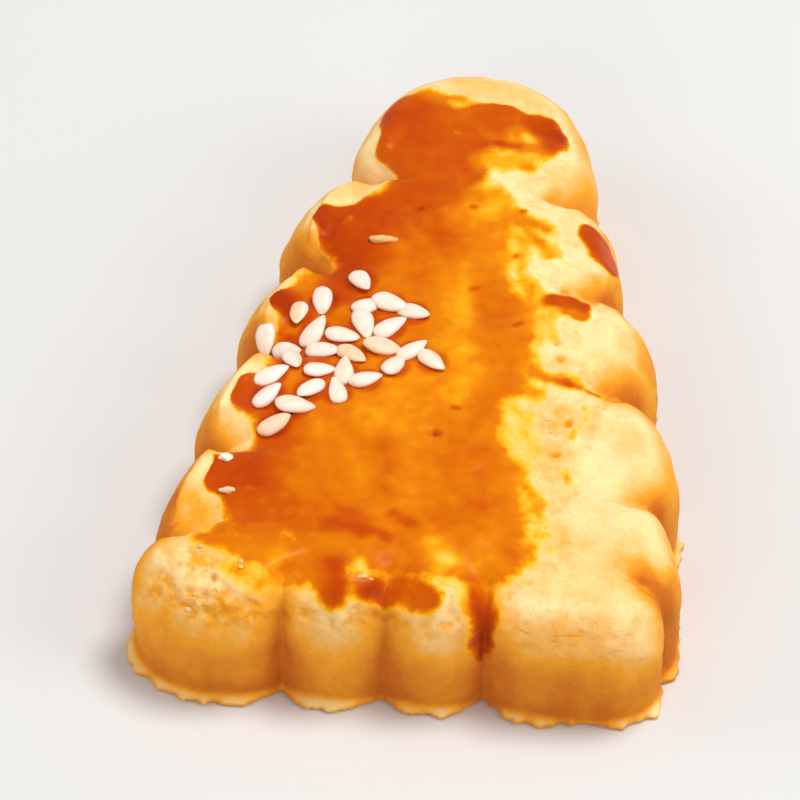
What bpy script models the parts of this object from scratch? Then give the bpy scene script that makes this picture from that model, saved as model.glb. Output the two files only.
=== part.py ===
"""A triangular tea cookie with scalloped edges and a pinch of sesame seeds baked onto its top.

The cookie lies flat on its underside. Its near-symmetry axis is Y, with the rounded tip at +Y and
the short side at -Y, and the origin is under the middle of its bounding box. The shape is worked
out in millimetres, and scaled to metres at the end.
"""

import math
import random
from dataclasses import dataclass

import bmesh
import bpy
from mathutils import Matrix, Vector, noise
from mathutils.bvhtree import BVHTree

MM = 0.001

# The three corner discs that the cutter's plain line is wrapped round: centre x and y, radius.
LEFT_CORNER = (-16.9, 5.8, 7.6)
RIGHT_CORNER = (17.1, 6.9, 8.2)
TIP = (0.6, 58.2, 10.9)

# The lobes, counter-clockwise from the short side. For each: its share of the line, the depth of
# the groove that ends it, and how far it swells past the plain line.
LOBES = (
    (8.6, 1.5, 0.0),
    (8.4, 2.1, 0.0),
    (17.8, 2.3, 0.2),
    (12.4, 2.4, -1.1),
    (12.3, 2.6, 1.0),
    (11.4, 2.5, 1.4),
    (12.4, 3.9, 0.3),
    (43.0, 4.6, 0.2),
    (12.0, 3.0, 2.4),
    (11.2, 2.9, 1.7),
    (11.6, 2.5, 0.6),
    (10.8, 2.3, -0.7),
    (18.4, 1.8, 0.4),
)
FIRST_GROOVE = 6.4
GROOVE_REACH = 5.4
GROOVE_SHARPNESS = 0.93

# The foot, from the table up: how far it lies inside the line, and its height.
UNDERSIDE_MARGIN = 6.0
FOOT_PROFILE = ((0.3, 0.0), (-0.3, 0.35), (0.3, 1.3), (0.05, 3.2))
RAGGED_HEIGHT = 0.4
RAGGED_WAVE = 2.3
RAGGED_DEPTH = 0.55

# The rounded shoulder between the side and the top.
THICKNESS = 13.9
SHOULDER_START = 7.6
SHOULDER_DEPTH = 4.4
SHOULDER_POWER = 2.2

# How the grooves close over the shoulder, and die out on the top.
GROOVE_CLOSING = 0.85
GROOVE_CLOSING_POWER = 1.4
GROOVE_DROP = 0.5
GROOVE_FADE = 9
GROOVE_UNDER = 0.2

# The top: a low crown, with the swells of hand-rolled dough as wavelength and height.
CROWN = 0.9
CROWN_MIDDLE = (0.4, 27.0)
CROWN_HALF_SIZE = (24.0, 38.0)
SWELLS = ((17.0, 0.55), (6.5, 0.22))
SWELL_DRAW = 40.0
SPINE = (12.0, 58.0)
SPINE_REACH = 0.84

# How finely the dough is divided.
COLUMN_SPACING = 1.35
FEWEST_COLUMNS = 7
SHOULDER_ROWS = 8
TOP_ROWS = 7
MERGE_DISTANCE = 0.001

# The sesame seeds: their size, and the slanting patch they were dropped on.
SEED_COUNT = 24
SEED_LENGTH = 3.4
SEED_WIDTH = 2.05
SEED_HEIGHT = 1.1
SEED_TAPER = 0.28
SEED_SIDES = 6
SEED_ROWS = 4
SEED_LIFT = 0.3
SEED_SPREAD = 0.12
SEED_TILT = math.radians(14)
PATCH_MIDDLE = (-9.2, 29.0)
PATCH_HALF_LENGTH = 9.9
PATCH_HALF_WIDTH = 6.6
PATCH_TURN = math.radians(54)
SEED_CLEARANCE = 1.95
STRAY_SHARE = 0.1
STRAY_REACH = 1.35
SEED_DRAW = 753583

DOUGH_COLOUR = (0.86, 0.42, 0.08, 1.0)
DOUGH_ROUGHNESS = 0.55
SHARP_ANGLE = math.radians(50)


@dataclass(frozen=True)
class Row:
    """One row of the dough's sheet, and how much of each groove it shows."""

    inward: float
    height: float
    groove_in: float = 1.0
    groove_down: float = 0.0


def direction(angle):
    return Vector((math.cos(angle), math.sin(angle)))


def groove_curve(share):
    """1 in a groove and 0 at its reach, round between them like the side of a lobe."""
    across = GROOVE_SHARPNESS * max(0.0, 1.0 - share)
    return (1 - math.sqrt(1 - across**2)) / (1 - math.sqrt(1 - GROOVE_SHARPNESS**2))


class Outline:
    """The cutter's line, by stations along it, counter-clockwise from the short side's start."""

    def __init__(self):
        corners = (LEFT_CORNER, RIGHT_CORNER, TIP)
        self.centres = [Vector(corner[:2]) for corner in corners]
        self.radii = [corner[2] for corner in corners]
        self.normals = [self.side_normal(i, (i + 1) % 3) for i in range(3)]
        self.sides = []
        self.turns = []
        for i in range(3):
            j = (i + 1) % 3
            run = (self.centres[j] - self.centres[i]).length
            self.sides.append(math.sqrt(run**2 - (self.radii[i] - self.radii[j]) ** 2))
            self.turns.append((self.normals[j] - self.normals[i]) % math.tau)
        self.length = sum(self.sides)
        self.length += sum(self.turns[i] * self.radii[(i + 1) % 3] for i in range(3))
        scale = self.length / sum(lobe[0] for lobe in LOBES)
        self.grooves = [FIRST_GROOVE]
        for share, _, _ in LOBES:
            self.grooves.append(self.grooves[-1] + share * scale)

    def side_normal(self, i, j):
        """The angle of the outward normal of the straight side between corners i and j."""
        run = self.centres[j] - self.centres[i]
        return math.atan2(run.y, run.x) - math.acos((self.radii[i] - self.radii[j]) / run.length)

    def plain(self, station):
        """The point and outward normal of the plain line, without its lobes."""
        left = station % self.length
        for i in range(3):
            j = (i + 1) % 3
            normal = direction(self.normals[i])
            if left <= self.sides[i]:
                start = self.centres[i] + self.radii[i] * normal
                end = self.centres[j] + self.radii[j] * normal
                return start.lerp(end, left / self.sides[i]), normal
            left -= self.sides[i]
            arc = self.turns[i] * self.radii[j]
            if left <= arc:
                normal = direction(self.normals[i] + self.turns[i] * left / arc)
                return self.centres[j] + self.radii[j] * normal, normal
            left -= arc
        return self.plain(0.0)

    def scallop(self, station):
        """How far the line lies inside the plain one, and the part of it that is a groove."""
        station = (station - self.grooves[0]) % self.length + self.grooves[0]
        lobe = sum(station > groove for groove in self.grooves[1:-1])
        start, end = self.grooves[lobe], self.grooves[lobe + 1]
        reach = min((end - start) / 2, GROOVE_REACH)
        before = groove_curve((station - start) / reach)
        after = groove_curve((end - station) / reach)
        groove = LOBES[lobe - 1][1] * before + LOBES[lobe][1] * after
        return groove - LOBES[lobe][2] * (1 - max(before, after)), groove

    def columns(self):
        """The stations of the sheet's columns, closer together near the grooves."""
        stations = []
        for start, end in zip(self.grooves, self.grooves[1:]):
            count = max(FEWEST_COLUMNS, round((end - start) / COLUMN_SPACING))
            for k in range(count):
                even = k / count
                eased = (1 - math.cos(math.pi * even)) / 2
                stations.append(start + (end - start) * (even + eased) / 2)
        return stations


def top_height(x, y):
    """The height of the baked top: its low crown, and the swells of the dough."""
    across = (x - CROWN_MIDDLE[0]) / CROWN_HALF_SIZE[0]
    along = (y - CROWN_MIDDLE[1]) / CROWN_HALF_SIZE[1]
    swell = sum(height * noise.noise(Vector((x, y, SWELL_DRAW)) / wave) for wave, height in SWELLS)
    return THICKNESS - CROWN * min(1.0, across**2 + along**2) + swell


def side_rows():
    """The rows from the underside up the foot and side, and over the shoulder."""
    rows = [Row(UNDERSIDE_MARGIN, 0.0, GROOVE_UNDER)]
    rows += [Row(inward, height) for inward, height in FOOT_PROFILE]
    for k in range(SHOULDER_ROWS + 1):
        angle = math.pi / 2 * k / SHOULDER_ROWS
        inward = 1 - math.cos(angle) ** (2 / SHOULDER_POWER)
        risen = math.sin(angle) ** (2 / SHOULDER_POWER)
        height = SHOULDER_START + (THICKNESS - SHOULDER_START) * risen
        groove_in = 1 - GROOVE_CLOSING * math.sin(angle) ** GROOVE_CLOSING_POWER
        rows.append(Row(SHOULDER_DEPTH * inward, height, groove_in, math.sin(angle)))
    return rows


def dough_point(outline, rows, row, station):
    """Where the sheet's vertex at this row and station lies on the cookie."""
    point, normal = outline.plain(station)
    inset, groove = outline.scallop(station)
    level = rows[min(row, len(rows) - 1)]
    inward = level.inward + inset * level.groove_in
    groove_down = level.groove_down
    if 0.0 < level.height < RAGGED_HEIGHT:
        inward += RAGGED_DEPTH * noise.noise(point.to_3d() / RAGGED_WAVE)
    plan = point - normal * inward
    if row >= len(rows):
        along = (row - len(rows) + 1) / TOP_ROWS
        spine = Vector((CROWN_MIDDLE[0], max(SPINE[0], min(SPINE[1], plan.y))))
        plan = plan.lerp(spine, along * SPINE_REACH)
        groove_down *= (1 - along) ** GROOVE_FADE
    top = top_height(plan.x, plan.y) - GROOVE_DROP * groove * groove_down
    return Vector((plan.x, plan.y, level.height / THICKNESS * top))


def build_dough():
    """A sheet rolled round the cookie, from the underside up its side and in over the top."""
    outline = Outline()
    stations = outline.columns()
    rows = side_rows()
    columns = len(stations)
    last_row = len(rows) + TOP_ROWS - 1
    bm = bmesh.new()
    bmesh.ops.create_grid(bm, x_segments=columns, y_segments=last_row, size=0.5)
    for vertex in bm.verts:
        column = round((vertex.co.x + 0.5) * columns) % columns
        row = round((vertex.co.y + 0.5) * last_row)
        vertex.co = dough_point(outline, rows, row, stations[column])
    bmesh.ops.remove_doubles(bm, verts=bm.verts, dist=MERGE_DISTANCE)
    rims = [edge for edge in bm.edges if edge.is_boundary]
    caps = bmesh.ops.holes_fill(bm, edges=rims, sides=0)["faces"]
    bmesh.ops.triangulate(bm, faces=caps, ngon_method="BEAUTY")
    bmesh.ops.recalc_face_normals(bm, faces=bm.faces)
    return bm


def seed_places():
    """The seeds' places: a drawn scatter on a slanting patch, with a few strays outside it."""
    draw = random.Random(SEED_DRAW)
    cosine, sine = math.cos(PATCH_TURN), math.sin(PATCH_TURN)
    places = []
    while len(places) < SEED_COUNT:
        stray = STRAY_REACH if draw.random() < STRAY_SHARE else 1.0
        reach = stray * math.sqrt(draw.random())
        turn = draw.uniform(0.0, math.tau)
        along = math.cos(turn) * PATCH_HALF_LENGTH * reach
        across = math.sin(turn) * PATCH_HALF_WIDTH * reach
        x = PATCH_MIDDLE[0] + along * cosine - across * sine
        y = PATCH_MIDDLE[1] + along * sine + across * cosine
        heading = draw.uniform(0.0, math.tau)
        size = 1.0 + draw.uniform(-SEED_SPREAD, SEED_SPREAD)
        tilt = draw.uniform(-SEED_TILT, SEED_TILT)
        if all(math.hypot(x - other[0], y - other[1]) > SEED_CLEARANCE for other in places):
            places.append((x, y, heading, size, tilt))
    return places


def build_seed(name):
    """One sesame seed: a flattened teardrop lying along X, with its point at +X."""
    bm = bmesh.new()
    bmesh.ops.create_uvsphere(bm, u_segments=SEED_SIDES, v_segments=SEED_ROWS, radius=1.0)
    lying = Matrix.Rotation(math.pi / 2, 3, "Y")
    bmesh.ops.rotate(bm, verts=bm.verts, cent=(0, 0, 0), matrix=lying)
    for vertex in bm.verts:
        taper = 1.0 - SEED_TAPER * vertex.co.x
        vertex.co.x *= SEED_LENGTH / 2
        vertex.co.y *= SEED_WIDTH / 2 * taper
        vertex.co.z *= SEED_HEIGHT / 2 * taper
    mesh = bpy.data.meshes.new(name)
    bm.to_mesh(mesh)
    bm.free()
    return bpy.data.objects.new(name, mesh)


def lay_seed(seed, surface, x, y, heading, size, tilt):
    """Presses a seed into the dough at its place, in line with the surface there."""
    above = Vector((x, y, 2 * THICKNESS))
    point, normal, _, _ = surface.ray_cast(above, Vector((0, 0, -1)))
    lean = Vector((0, 0, 1)).rotation_difference(normal).to_matrix().to_4x4()
    turn = Matrix.Rotation(heading, 4, "Z") @ Matrix.Rotation(tilt, 4, "Y")
    bed = Matrix.Translation(point + normal * SEED_HEIGHT * SEED_LIFT)
    seed.data.transform(bed @ lean @ turn @ Matrix.Scale(size, 4))


def fuse(host, collection):
    """Joins every object of the collection to the host, and removes the collection."""
    union = host.modifiers.new("fused_seeds", "BOOLEAN")
    union.operation = "UNION"
    union.operand_type = "COLLECTION"
    union.collection = collection
    union.solver = "EXACT"
    graph = bpy.context.evaluated_depsgraph_get()
    fused = bpy.data.meshes.new_from_object(host.evaluated_get(graph))
    host.modifiers.remove(union)
    host.data = fused
    for piece in list(collection.objects):
        bpy.data.objects.remove(piece)
    bpy.data.collections.remove(collection)


def centre_on_base(mesh):
    """Moves the shape over the origin by its bounding box, and scales it to metres."""
    xs = [vertex.co.x for vertex in mesh.vertices]
    ys = [vertex.co.y for vertex in mesh.vertices]
    middle = Vector((-(min(xs) + max(xs)) / 2, -(min(ys) + max(ys)) / 2, 0.0))
    mesh.transform(Matrix.Scale(MM, 4) @ Matrix.Translation(middle))


def baked_dough():
    material = bpy.data.materials.new("baked_dough")
    material.use_nodes = True
    shader = material.node_tree.nodes["Principled BSDF"]
    shader.inputs["Base Color"].default_value = DOUGH_COLOUR
    shader.inputs["Roughness"].default_value = DOUGH_ROUGHNESS
    return material


def new_collection(name):
    collection = bpy.data.collections.new(name)
    bpy.context.scene.collection.children.link(collection)
    return collection


def main():
    for leftover in list(bpy.data.objects):
        bpy.data.objects.remove(leftover)
    dough = build_dough()
    surface = BVHTree.FromBMesh(dough)
    cookie = bpy.data.objects.new("cookie", bpy.data.meshes.new("cookie"))
    dough.to_mesh(cookie.data)
    dough.free()
    new_collection("tea_cookie").objects.link(cookie)

    seeds = new_collection("sesame_seeds")
    for number, place in enumerate(seed_places(), start=1):
        seed = build_seed(f"seed_{number:02d}")
        seeds.objects.link(seed)
        lay_seed(seed, surface, *place)
    bpy.context.view_layer.update()
    fuse(cookie, seeds)

    centre_on_base(cookie.data)
    cookie.data.materials.clear()
    cookie.data.materials.append(baked_dough())
    cookie.data.shade_smooth()
    cookie.data.set_sharp_from_angle(angle=SHARP_ANGLE)


main()
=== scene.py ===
"""Looks of a triangular tea cookie: baked dough, brushed egg wash, sesame seeds and crumbs.

Lengths are in millimetres on the cutter's own axes, with the short side along X and the rounded
tip at +Y. A finished mesh is moved over the frame's origin and scaled to metres.
"""

import logging
import math
import random
from dataclasses import dataclass, field
from enum import Enum

import bmesh
import bpy
import numpy as np
from mathutils import Matrix, Vector, kdtree, noise
from mathutils.bvhtree import BVHTree


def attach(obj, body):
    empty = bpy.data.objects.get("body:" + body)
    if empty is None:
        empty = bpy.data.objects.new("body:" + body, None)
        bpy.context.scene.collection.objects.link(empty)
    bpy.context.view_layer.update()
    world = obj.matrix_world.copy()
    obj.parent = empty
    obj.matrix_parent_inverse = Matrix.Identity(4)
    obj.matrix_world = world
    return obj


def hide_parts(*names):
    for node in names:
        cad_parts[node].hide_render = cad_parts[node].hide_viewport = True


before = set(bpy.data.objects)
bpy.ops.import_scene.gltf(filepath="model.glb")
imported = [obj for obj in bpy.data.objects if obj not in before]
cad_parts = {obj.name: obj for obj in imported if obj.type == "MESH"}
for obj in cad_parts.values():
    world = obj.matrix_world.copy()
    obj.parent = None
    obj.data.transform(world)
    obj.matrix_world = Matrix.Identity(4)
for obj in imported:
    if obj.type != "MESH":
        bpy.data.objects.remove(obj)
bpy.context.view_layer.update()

NODE = "cookie"
BODY = "root"
MM = 0.001
ORIGIN = Vector((-0.02698, 33.57886, 0.0))

log = logging.getLogger("tea_cookie")


def smooth_step(low: float, high: float, value: np.ndarray) -> np.ndarray:
    """Eases from 0 at low to 1 at high.

    Args:
        low: The value that gives 0.
        high: The value that gives 1.
        value: The values to ease.

    Returns:
        The eased shares, from 0 to 1.
    """
    share = np.clip((value - low) / (high - low), 0.0, 1.0)
    return share * share * (3.0 - 2.0 * share)


def grain(places: np.ndarray, wave: float, draw: float = 0.0) -> np.ndarray:
    """Smooth noise of one wavelength at many places.

    Args:
        places: The places, one row of x, y and z each, in millimetres.
        wave: The wavelength in millimetres.
        draw: An offset that picks another pattern.

    Returns:
        One value for each place, from about -1 to 1.
    """
    scaled = places / wave + draw
    return np.array([noise.noise(Vector(place)) for place in scaled.tolist()])


def finish_mesh(bm: bmesh.types.BMesh, name: str) -> bpy.types.Object:
    """Turns a shape in millimetres into a smooth object in the frame's metres.

    Args:
        bm: The shape, which is freed.
        name: The name of the object and of its mesh.

    Returns:
        The object, linked to the scene.
    """
    bmesh.ops.translate(bm, verts=bm.verts, vec=-ORIGIN)
    bmesh.ops.scale(bm, verts=bm.verts, vec=(MM, MM, MM))
    mesh = bpy.data.meshes.new(name)
    bm.to_mesh(mesh)
    bm.free()
    mesh.shade_smooth()
    piece = bpy.data.objects.new(name, mesh)
    bpy.context.scene.collection.objects.link(piece)
    return piece


def paint(piece: bpy.types.Object, name: str, values: np.ndarray) -> None:
    """Stores one number for each vertex of a piece.

    Args:
        piece: The piece whose mesh holds the numbers.
        name: The attribute's name, which its finish reads.
        values: The numbers, in the order of the vertices.
    """
    attribute = piece.data.attributes.new(name, "FLOAT", "POINT")
    attribute.data.foreach_set("value", np.asarray(values, np.float32))


def plan_tree(plan: np.ndarray) -> kdtree.KDTree:
    """A tree that finds the nearest of many places on the plan.

    Args:
        plan: The places, one row of x and y each.

    Returns:
        The tree, which numbers the places by their rows.
    """
    tree = kdtree.KDTree(len(plan))
    for k, (x, y) in enumerate(plan.tolist()):
        tree.insert((x, y, 0.0), k)
    tree.balance()
    return tree


def top_at(surface: BVHTree, x: float, y: float, start: float) -> tuple[Vector, Vector]:
    """Finds the top of the dough at a place on the plan.

    Args:
        surface: The dough's surface, in metres.
        x: The place across the cookie.
        y: The place along the cookie.
        start: A height above the dough, to look down from.

    Returns:
        The point in millimetres, and the way the surface faces there.
    """
    above = (Vector((x, y, start)) - ORIGIN) * MM
    point, normal, _, _ = surface.ray_cast(above, Vector((0, 0, -1)))
    return point / MM + ORIGIN, normal


# ---------------------------------------------------------------- the cutter and the dough's form


@dataclass(frozen=True)
class Corner:
    """A disc that the cutter's plain line is wrapped round."""

    x: float
    y: float
    radius: float


@dataclass(frozen=True)
class Lobe:
    """One lobe: its share of the line, the groove that ends it, its swell and how crisp it is."""

    share: float
    groove: float
    swell: float
    crisp: float


@dataclass
class CutterLine:
    """The cutter's scalloped line, by stations along it, counter-clockwise."""

    corners: tuple[Corner, ...] = (
        Corner(-16.9, 5.8, 7.6),
        Corner(17.1, 6.9, 8.2),
        Corner(0.6, 58.2, 10.9),
    )
    lobes: tuple[Lobe, ...] = (
        Lobe(8.6, 1.5, 0.0, 0.2),
        Lobe(8.4, 2.1, 0.0, 0.2),
        Lobe(17.8, 2.3, 0.2, 0.15),
        Lobe(12.4, 2.4, -1.1, 0.25),
        Lobe(12.3, 2.6, 1.0, 0.3),
        Lobe(11.4, 2.5, 1.4, 0.35),
        Lobe(12.4, 3.9, 0.3, 0.4),
        Lobe(43.0, 4.6, 0.2, 0.4),
        Lobe(12.0, 3.0, 2.4, 1.0),
        Lobe(11.2, 2.9, 1.7, 1.0),
        Lobe(11.6, 2.5, 0.6, 1.0),
        Lobe(10.8, 2.3, -0.7, 1.0),
        Lobe(18.4, 1.8, 0.4, 0.4),
    )
    first_groove: float = 6.4
    groove_reach: float = 5.4
    groove_sharpness: float = 0.93
    full_groove: float = 1.9
    notch_reach: tuple[float, float] = (1.3, 3.8)
    notch_softness: float = 1.1
    flank_reach: float = 7.0
    station_spacing: float = 0.24
    points: np.ndarray = field(init=False)
    outward: np.ndarray = field(init=False)
    inset: np.ndarray = field(init=False)
    groove: np.ndarray = field(init=False)
    grooved: np.ndarray = field(init=False)
    notch: np.ndarray = field(init=False)
    soft_notch: np.ndarray = field(init=False)
    crisp: np.ndarray = field(init=False)
    flank: np.ndarray = field(init=False)

    def __post_init__(self) -> None:
        """Works out the line at every station."""
        sides = [self._side(i) for i in range(len(self.corners))]
        length = sum(run + turn * radius for _, turn, run, radius in sides)
        count = round(length / self.station_spacing)
        stations = np.arange(count) * length / count
        placed = [self._plain(sides, station) for station in stations]
        self.points = np.array([point for point, _ in placed])
        self.outward = np.array([normal for _, normal in placed])
        scalloped = [
            self._scallop(length, station, normal.x < 0)
            for station, (_, normal) in zip(stations, placed)
        ]
        self.inset, self.groove, self.notch, self.crisp, self.flank = np.array(scalloped).T
        self.grooved = np.clip(self.groove / self.full_groove, 0.0, 1.0)
        width = self.notch_softness * count / length
        shifts = range(-round(3 * width), round(3 * width) + 1)
        weights = np.array([math.exp(-((shift / width) ** 2)) for shift in shifts])
        rolled = [weight * np.roll(self.notch, shift) for shift, weight in zip(shifts, weights)]
        self.soft_notch = sum(rolled) / weights.sum()

    def _side(self, i: int) -> tuple[float, float, float, float]:
        """One side of the plain line, with the corner that ends it.

        Args:
            i: The number of the corner that the side starts from.

        Returns:
            The angle of its outward normal, the normal's turn at the corner after it, the side's
            length, and that corner's radius.
        """
        a, b, c = (self.corners[(i + k) % 3] for k in range(3))
        normal = self._normal(a, b)
        turn = (self._normal(b, c) - normal) % math.tau
        length = math.sqrt(math.hypot(b.x - a.x, b.y - a.y) ** 2 - (a.radius - b.radius) ** 2)
        return normal, turn, length, b.radius

    @staticmethod
    def _normal(a: Corner, b: Corner) -> float:
        """The angle of the outward normal of the straight side from corner a to corner b."""
        run = math.hypot(b.x - a.x, b.y - a.y)
        return math.atan2(b.y - a.y, b.x - a.x) - math.acos((a.radius - b.radius) / run)

    def _plain(self, sides: list[tuple[float, float, float, float]],
               station: float) -> tuple[Vector, Vector]:
        """The plain line at a station.

        Args:
            sides: The line's sides, from _side.
            station: The distance along the line.

        Returns:
            The point, and the outward normal there.
        """
        left = station
        for i, (angle, turn, length, radius) in enumerate(sides):
            a, b = self.corners[i], self.corners[(i + 1) % 3]
            if left <= length:
                normal = Vector((math.cos(angle), math.sin(angle)))
                start = Vector((a.x, a.y)) + a.radius * normal
                return start.lerp(Vector((b.x, b.y)) + b.radius * normal, left / length), normal
            left -= length
            if left <= turn * radius:
                normal = Vector((math.cos(angle + left / radius), math.sin(angle + left / radius)))
                return Vector((b.x, b.y)) + b.radius * normal, normal
            left -= turn * radius
        return self._plain(sides, 0.0)

    def _scallop(self, length: float, station: float,
                 downhill: bool) -> tuple[float, float, float, float, float]:
        """How far the scalloped line lies inside the plain one.

        Args:
            length: The length of the whole line.
            station: The distance along the line.
            downhill: Whether the line runs toward the short side there.

        Returns:
            The distance inside the plain line, the part of it that is a groove, the depth of the
            notch that the groove cuts in the top, how crisp the lobe is there, and the share of
            the lobe's flank that faces the short side.
        """
        scale = length / sum(lobe.share for lobe in self.lobes)
        start = self.first_groove
        station = (station - start) % length + start
        for k, lobe in enumerate(self.lobes):
            end = start + lobe.share * scale
            if station <= end or k == len(self.lobes) - 1:
                break
            start = end
        reach = min((end - start) / 2, self.groove_reach)
        before = self._curve((station - start) / reach)
        after = self._curve((end - station) / reach)
        groove = self.lobes[k - 1].groove * before + lobe.groove * after
        neighbour = self.lobes[k - 1] if before > after else self.lobes[(k + 1) % len(self.lobes)]
        crisp = lobe.crisp + (neighbour.crisp - lobe.crisp) * max(before, after) / 2
        near, far = self.notch_reach if downhill else self.notch_reach[::-1]
        cut = self.lobes[k - 1].groove * max(0.0, 1 - (station - start) / near)
        cut += lobe.groove * max(0.0, 1 - (end - station) / far)
        notch = groove + (cut - groove) * crisp
        flank = max(0.0, 1 - (end - station if downhill else station - start) / self.flank_reach)
        return groove - lobe.swell * (1 - max(before, after)), groove, notch, crisp, flank

    def _curve(self, share: float) -> float:
        """The depth of a groove beside its middle, round like the side of a lobe.

        Args:
            share: The distance from the groove's middle, as a share of its reach.

        Returns:
            The depth, from 1 in the middle to 0 at the reach.
        """
        across = self.groove_sharpness * max(0.0, 1.0 - share)
        full = 1 - math.sqrt(1 - self.groove_sharpness**2)
        return (1 - math.sqrt(1 - across**2)) / full


@dataclass(frozen=True)
class Swell:
    """One wave of the hand-rolled dough: its wavelength and its height."""

    wave: float
    height: float


@dataclass(frozen=True)
class DoughForm:
    """The dough's profile: its foot, side, rounded shoulder and low crown."""

    thickness: float = 13.9
    underside: tuple[tuple[float, float], ...] = ((6.0, 0.2), (3.2, 0.7), (1.0, 1.0))
    foot: tuple[tuple[float, float], ...] = ((0.3, 0.0), (-0.3, 0.35), (0.3, 1.3), (0.05, 3.2))
    foot_steps: int = 4
    shoulder_start: float = 7.6
    shoulder_depth: float = 4.4
    shoulder_power: float = 2.2
    crisp_depth: float = 2.3
    crisp_power: float = 1.5
    shoulder_rows: int = 30
    groove_closing: float = 0.75
    crisp_closing: float = 0.45
    groove_closing_power: float = 1.4
    groove_drop: float = 0.65
    crisp_drop: float = 1.25
    groove_fade: float = 5.5
    crisp_fade: float = 3.6
    lip: float = 0.4
    lip_rows: float = 1.8
    cup: float = 0.35
    cup_rows: tuple[float, float] = (7.0, 3.5)
    crown: float = 0.9
    crown_middle: tuple[float, float] = (0.4, 27.0)
    crown_half_size: tuple[float, float] = (24.0, 38.0)
    swells: tuple[Swell, ...] = (Swell(17.0, 0.55), Swell(6.5, 0.22))
    swell_draw: float = 40.0
    spine: tuple[float, float] = (12.0, 58.0)
    spine_reach: float = 0.84
    top_rows: int = 36
    softening_rows: int = 6
    burr_height: float = 0.85
    burr_teeth: tuple[Swell, ...] = (Swell(4.6, 0.9), Swell(1.9, 0.7), Swell(0.9, 0.35))
    burr_sharpness: float = 2.0
    burr_roundness: float = 0.8
    burr_root: float = 0.75

    def side_rows(self, depth: float, power: float, closing: float) -> np.ndarray:
        """The rows from the underside up the foot and side, and over the shoulder.

        Args:
            depth: How far the shoulder reaches inward.
            power: How square the shoulder is, with 2 for a round one.
            closing: How far a groove has closed at the top of the shoulder.

        Returns:
            For each row, how far it lies inside the line, its height, and the shares of a groove
            that it shows inward and downward.
        """
        rows = [(inward, 0.0, share, 0.0) for inward, share in self.underside]
        for (x0, z0), (x1, z1) in zip(self.foot, self.foot[1:]):
            for k in range(self.foot_steps):
                t = k / self.foot_steps
                rows.append((x0 + (x1 - x0) * t, z0 + (z1 - z0) * t, 1.0, 0.0))
        rows.append((*self.foot[-1], 1.0, 0.0))
        for k in range(self.shoulder_rows + 1):
            angle = math.pi / 2 * k / self.shoulder_rows
            inward = depth * (1 - math.cos(angle) ** (2 / power))
            risen = math.sin(angle) ** (2 / power)
            height = self.shoulder_start + (self.thickness - self.shoulder_start) * risen
            closed = closing * math.sin(angle) ** self.groove_closing_power
            rows.append((inward, height, 1 - closed, math.sin(angle)))
        return np.array(rows)

    def top_height(self, plan: np.ndarray) -> np.ndarray:
        """The height of the baked top.

        Args:
            plan: Places on the plan, one row of x and y each.

        Returns:
            The height at each place.
        """
        across = (plan[:, 0] - self.crown_middle[0]) / self.crown_half_size[0]
        along = (plan[:, 1] - self.crown_middle[1]) / self.crown_half_size[1]
        height = self.thickness - self.crown * np.minimum(1.0, across**2 + along**2)
        places = np.column_stack([plan, np.full(len(plan), self.swell_draw)])
        for swell in self.swells:
            height += swell.height * grain(places, swell.wave)
        return height

    def sheet(self, line: CutterLine) -> np.ndarray:
        """The sheet that is rolled round the cookie.

        Args:
            line: The cutter's line.

        Returns:
            Places in millimetres, by row from the underside to the top, and by station.
        """
        rounded = self.side_rows(self.shoulder_depth, self.shoulder_power, self.groove_closing)
        crisp = self.side_rows(self.crisp_depth, self.crisp_power, self.crisp_closing)
        side = rounded[:, None] + (crisp - rounded)[:, None] * line.crisp[None, :, None]
        drop = self.groove_drop + (self.crisp_drop - self.groove_drop) * line.crisp
        fade = self.groove_fade + (self.crisp_fade - self.groove_fade) * line.crisp
        flat = np.column_stack([line.points, np.zeros(len(line.points))])
        teeth = sum(
            tooth.height * np.maximum(0.0, 1 - self.burr_sharpness * np.abs(grain(flat, tooth.wave)))
            for tooth in self.burr_teeth
        )
        burr = teeth**self.burr_roundness - self.burr_root
        laid = []
        for row in range(len(side) + self.top_rows):
            inward, height, groove_in, groove_down = side[min(row, len(side) - 1)].T
            edge = np.clip(height / self.burr_height, 0.0, 1.0)
            reach = inward + line.inset * groove_in - burr * np.sin(math.pi * np.sqrt(edge))
            plan = line.points - line.outward * reach[:, None]
            notch = line.notch
            past = row - len(side) + 1
            if past > 0:
                notch = notch + (line.soft_notch - notch) * min(1.0, past / self.softening_rows)
                share = past / self.top_rows
                spine = np.column_stack(
                    [np.full(len(plan), self.crown_middle[0]), np.clip(plan[:, 1], *self.spine)]
                )
                plan = plan + (spine - plan) * share * self.spine_reach
                groove_down = groove_down * (1 - share) ** fade
            top = self.top_height(plan) - drop * notch * groove_down
            rim = self.lip * math.exp(-((past / self.lip_rows) ** 2))
            rim -= self.cup * math.exp(-(((past - self.cup_rows[0]) / self.cup_rows[1]) ** 2))
            rim *= (1 - np.clip(line.notch, 0.0, 1.0)) * line.crisp
            laid.append(np.column_stack([plan, height / self.thickness * top + rim]))
        return np.array(laid)


# ---------------------------------------------------------------- the egg wash


class Tone(Enum):
    """How dark the wash has baked where a stroke of the brush lies, from 0 to 1; the palest tone is
    painted highlight.
    """

    # The palest tone is painted highlight on the wash, not a baked colour.
    PAINTED_HIGHLIGHT = 0.07
    STRAW = 0.27
    GOLD = 0.42
    AMBER = 0.53
    ORANGE = 0.65
    RUSSET = 0.8
    BROWN = 0.97


class Edge(Enum):
    """How far the wash thins out at the edge of a brush stroke, in millimetres."""

    CRISP = 0.5
    EVEN = 1.3
    SOFT = 3.0


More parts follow.
